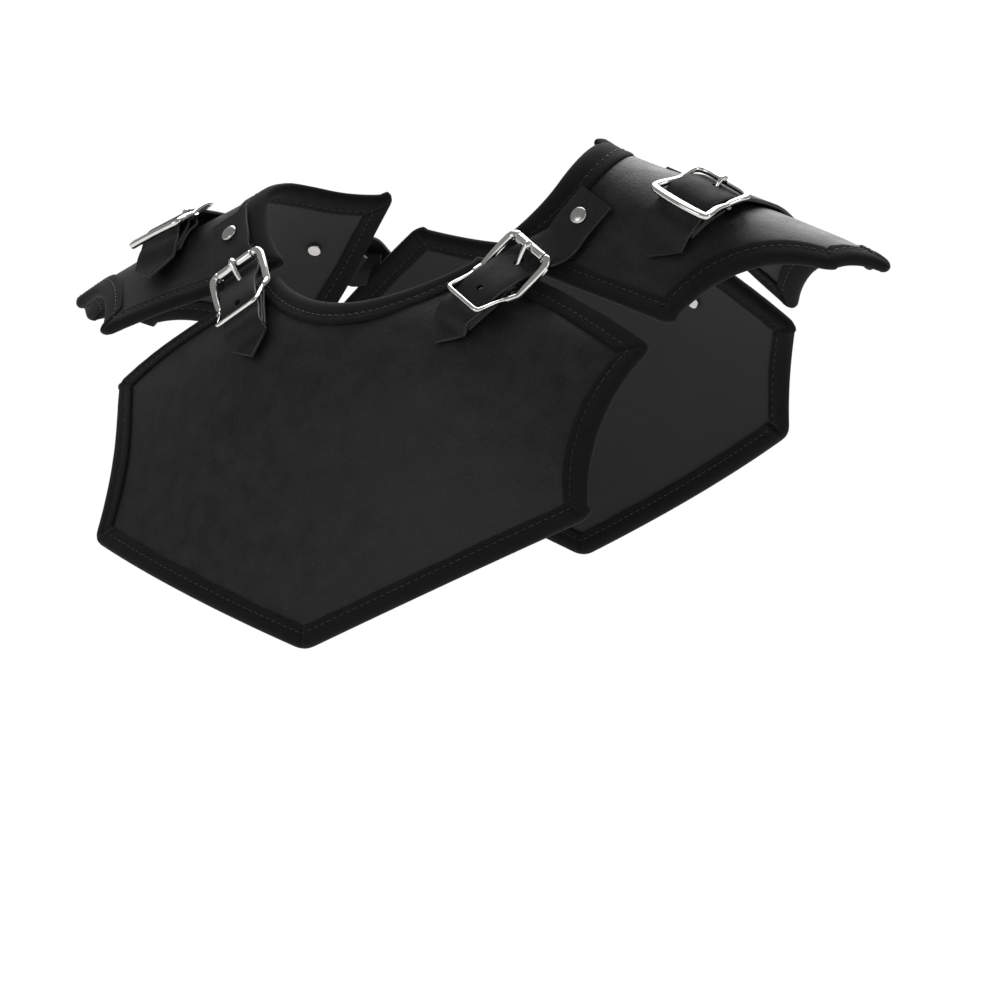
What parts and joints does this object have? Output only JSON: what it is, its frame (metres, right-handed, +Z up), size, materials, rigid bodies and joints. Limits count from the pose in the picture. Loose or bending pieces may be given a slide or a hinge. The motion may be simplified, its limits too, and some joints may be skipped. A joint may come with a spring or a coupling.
{
  "type": "leather gorget",
  "caption": "Leather gorget: chest, back and two arched shoulder plates with folded binding, joined by riveted straps and roller and centre-bar buckles around an open neck.",
  "frame": {"origin": "middle of the neck opening, between the tops of the two shoulder plates, where it sits round the wearer's neck", "axes": "+Z up, the wearer faces -Y, +X is the wearer's left"},
  "size_m": [0.4521, 0.2147, 0.2275],
  "materials": {
    "black_leather": "black finished leather with a fine grain and a satin sheen",
    "binding_tape": "matte black folded edge binding with one row of stitches",
    "nickel": "polished nickel plate"
  },
  "bodies": {
    "root": {"chest_plate": "black_leather", "chest_binding": "binding_tape", "back_plate": "black_leather", "back_binding": "binding_tape", "shoulder_plate_left": "black_leather", "shoulder_binding_left": "binding_tape", "front_buckle_left": "nickel", "front_roller_left": "nickel", "front_prong_left": "nickel", "front_chape_left": "black_leather", "front_chape_rivet_left": "nickel", "front_strap_left": "black_leather", "front_strap_rivet_left": "nickel", "shoulder_buckle_left": "nickel", "shoulder_prong_left": "nickel", "shoulder_chape_left": "black_leather", "shoulder_chape_rivet_left": "nickel", "shoulder_strap_left": "black_leather", "shoulder_strap_rivet_left": "nickel", "back_strap_left": "black_leather", "back_strap_upper_rivet_left": "nickel", "back_strap_lower_rivet_left": "nickel", "shoulder_plate_right": "black_leather", "shoulder_binding_right": "binding_tape", "front_buckle_right": "nickel", "front_roller_right": "nickel", "front_prong_right": "nickel", "front_chape_right": "black_leather", "front_chape_rivet_right": "nickel", "front_strap_right": "black_leather", "front_strap_rivet_right": "nickel", "shoulder_buckle_right": "nickel", "shoulder_prong_right": "nickel", "shoulder_chape_right": "black_leather", "shoulder_chape_rivet_right": "nickel", "shoulder_strap_right": "black_leather", "shoulder_strap_rivet_right": "nickel", "back_strap_right": "black_leather", "back_strap_upper_rivet_right": "nickel", "back_strap_lower_rivet_right": "nickel"}
  },
  "joints": []
}
